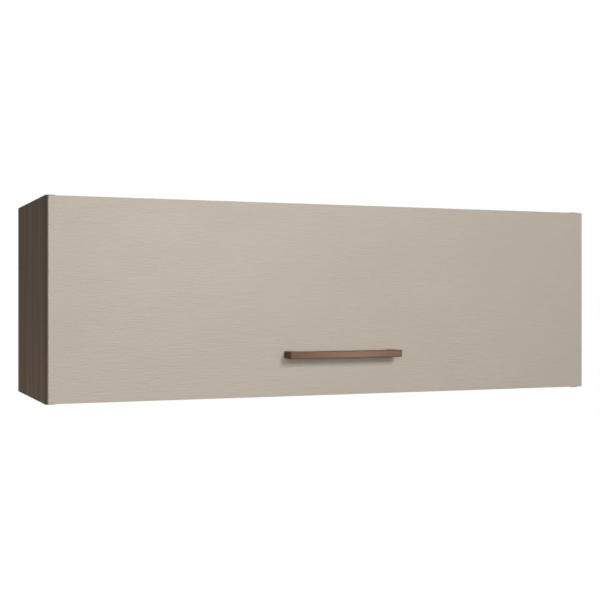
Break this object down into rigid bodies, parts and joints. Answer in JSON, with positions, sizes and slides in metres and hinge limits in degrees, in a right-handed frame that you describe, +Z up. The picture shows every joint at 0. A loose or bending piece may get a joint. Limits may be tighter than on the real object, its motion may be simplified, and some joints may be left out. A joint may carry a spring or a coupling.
{
  "type": "lift up wall cabinet",
  "caption": "Wide low wall cabinet with one full-width lift-up door, a square bar handle, concealed cup hinges and gas struts.",
  "frame": {"origin": "middle of the cabinet's back, on the face that lies against the wall", "axes": "+X to the right along the width, +Y into the wall, +Z up; the door faces -Y"},
  "size_m": [1, 0.3415, 0.331],
  "materials": {
    "brown_board": "dark brown wood-grain laminate, matt, faint vertical pores",
    "back_board": "thin hardboard, brown printed inside, plain fibre outside",
    "door_board": "beige laminate with a fine embossed horizontal grain, silk matt",
    "handle_metal": "satin copper-brown coat over cast metal",
    "screw_steel": "bright zinc plate",
    "cam_zinc": "raw die-cast zinc",
    "clear_bumper": "clear soft silicone",
    "hinge_steel": "nickel-plated pressed steel",
    "bracket_steel": "nickel-plated sheet steel",
    "black_plastic": "moulded black, fine texture",
    "black_paint": "satin black paint",
    "rod_chrome": "hard chrome, polished"
  },
  "bodies": {
    "carcass": {"left_side_panel": "brown_board", "right_side_panel": "brown_board", "top_panel": "brown_board", "bottom_panel": "brown_board", "cam_top_left_front": "cam_zinc", "cam_bolt_top_left_front": "screw_steel", "cam_top_left_rear": "cam_zinc", "cam_bolt_top_left_rear": "screw_steel", "cam_bottom_left_front": "cam_zinc", "cam_bolt_bottom_left_front": "screw_steel", "cam_bottom_left_rear": "cam_zinc", "cam_bolt_bottom_left_rear": "screw_steel", "cam_top_right_front": "cam_zinc", "cam_bolt_top_right_front": "screw_steel", "cam_top_right_rear": "cam_zinc", "cam_bolt_top_right_rear": "screw_steel", "cam_bottom_right_front": "cam_zinc", "cam_bolt_bottom_right_front": "screw_steel", "cam_bottom_right_rear": "cam_zinc", "cam_bolt_bottom_right_rear": "screw_steel", "back_panel": "back_board", "hanging_rail": "brown_board", "wall_bracket_left": "bracket_steel", "wall_bracket_right": "bracket_steel", "hinge_arm_left": "hinge_steel", "hinge_plate_left": "hinge_steel", "hinge_arm_middle": "hinge_steel", "hinge_plate_middle": "hinge_steel", "hinge_arm_right": "hinge_steel", "hinge_plate_right": "hinge_steel", "strut_side_bracket_left": "bracket_steel", "strut_side_bracket_right": "bracket_steel"},
    "door": {"lift_door": "door_board", "bar_handle": "handle_metal", "handle_screw_left": "screw_steel", "handle_screw_right": "screw_steel", "door_bumper_left": "clear_bumper", "door_bumper_right": "clear_bumper", "hinge_cup_left": "hinge_steel", "hinge_cup_middle": "hinge_steel", "hinge_cup_right": "hinge_steel", "strut_door_bracket_left": "bracket_steel", "strut_door_bracket_right": "bracket_steel"},
    "hinge_inner_link_left": {"hinge_inner_link_left": "hinge_steel"},
    "hinge_outer_link_left": {"hinge_outer_link_left": "hinge_steel"},
    "hinge_inner_link_middle": {"hinge_inner_link_middle": "hinge_steel"},
    "hinge_outer_link_middle": {"hinge_outer_link_middle": "hinge_steel"},
    "hinge_inner_link_right": {"hinge_inner_link_right": "hinge_steel"},
    "hinge_outer_link_right": {"hinge_outer_link_right": "hinge_steel"},
    "strut_tube_left": {"strut_tube_socket_left": "black_plastic", "strut_tube_left": "black_paint"},
    "strut_rod_left": {"strut_rod_left": "rod_chrome", "strut_rod_socket_left": "black_plastic", "strut_door_stud_left": "bracket_steel"},
    "strut_tube_right": {"strut_tube_socket_right": "black_plastic", "strut_tube_right": "black_paint"},
    "strut_rod_right": {"strut_rod_right": "rod_chrome", "strut_rod_socket_right": "black_plastic", "strut_door_stud_right": "bracket_steel"}
  },
  "joints": [
    {"name": "door_lift", "type": "hinge", "parent": "carcass", "child": "door", "pos_m": [0, -0.304, 0.15873], "axis": [-1, 0, 0], "range_deg": [0, 90]},
    {"name": "hinge_inner_link_swing_left", "type": "hinge", "parent": "door", "child": "hinge_inner_link_left", "pos_m": [-0.3985, -0.29855, 0.15674], "axis": [-1, 0, 0], "range_deg": [-121.8, 0]},
    {"name": "hinge_inner_link_swing_middle", "type": "hinge", "parent": "door", "child": "hinge_inner_link_middle", "pos_m": [0, -0.29855, 0.15674], "axis": [-1, 0, 0], "range_deg": [-121.8, 0]},
    {"name": "hinge_inner_link_swing_right", "type": "hinge", "parent": "door", "child": "hinge_inner_link_right", "pos_m": [0.3985, -0.29855, 0.15674], "axis": [-1, 0, 0], "range_deg": [-121.8, 0]},
    {"name": "hinge_outer_link_swing_left", "type": "hinge", "parent": "door", "child": "hinge_outer_link_left", "pos_m": [-0.3985, -0.29651, 0.15288], "axis": [-1, 0, 0], "range_deg": [-131.4, 0]},
    {"name": "hinge_outer_link_swing_middle", "type": "hinge", "parent": "door", "child": "hinge_outer_link_middle", "pos_m": [0, -0.29651, 0.15288], "axis": [-1, 0, 0], "range_deg": [-131.4, 0]},
    {"name": "hinge_outer_link_swing_right", "type": "hinge", "parent": "door", "child": "hinge_outer_link_right", "pos_m": [0.3985, -0.29651, 0.15288], "axis": [-1, 0, 0], "range_deg": [-131.4, 0]},
    {"name": "strut_tube_swing_left", "type": "hinge", "parent": "carcass", "child": "strut_tube_left", "pos_m": [-0.469, -0.09411, 0.0134], "axis": [-1, 0, 0], "range_deg": [-3.4, 0]},
    {"name": "strut_tube_swing_right", "type": "hinge", "parent": "carcass", "child": "strut_tube_right", "pos_m": [0.469, -0.09411, 0.0134], "axis": [-1, 0, 0], "range_deg": [-3.4, 0]},
    {"name": "strut_rod_slide_left", "type": "slide", "parent": "strut_tube_left", "child": "strut_rod_left", "axis": [0, -0.8761, 0.482], "range_m": [0, 0.069]},
    {"name": "strut_rod_slide_right", "type": "slide", "parent": "strut_tube_right", "child": "strut_rod_right", "axis": [0, -0.8761, 0.482], "range_m": [0, 0.069]}
  ],
  "couplings": [
    {"joint": "hinge_inner_link_swing_left", "follows": "door_lift", "ratio": -1.3533},
    {"joint": "hinge_inner_link_swing_middle", "follows": "door_lift", "ratio": -1.3533},
    {"joint": "hinge_inner_link_swing_right", "follows": "door_lift", "ratio": -1.3533},
    {"joint": "hinge_outer_link_swing_left", "follows": "door_lift", "ratio": -1.4599},
    {"joint": "hinge_outer_link_swing_middle", "follows": "door_lift", "ratio": -1.4599},
    {"joint": "hinge_outer_link_swing_right", "follows": "door_lift", "ratio": -1.4599},
    {"joint": "strut_tube_swing_left", "follows": "door_lift", "ratio": -0.036779},
    {"joint": "strut_tube_swing_right", "follows": "door_lift", "ratio": -0.036779},
    {"joint": "strut_rod_slide_left", "follows": "door_lift", "m_per_rad": 0.043907},
    {"joint": "strut_rod_slide_right", "follows": "door_lift", "m_per_rad": 0.043907}
  ]
}
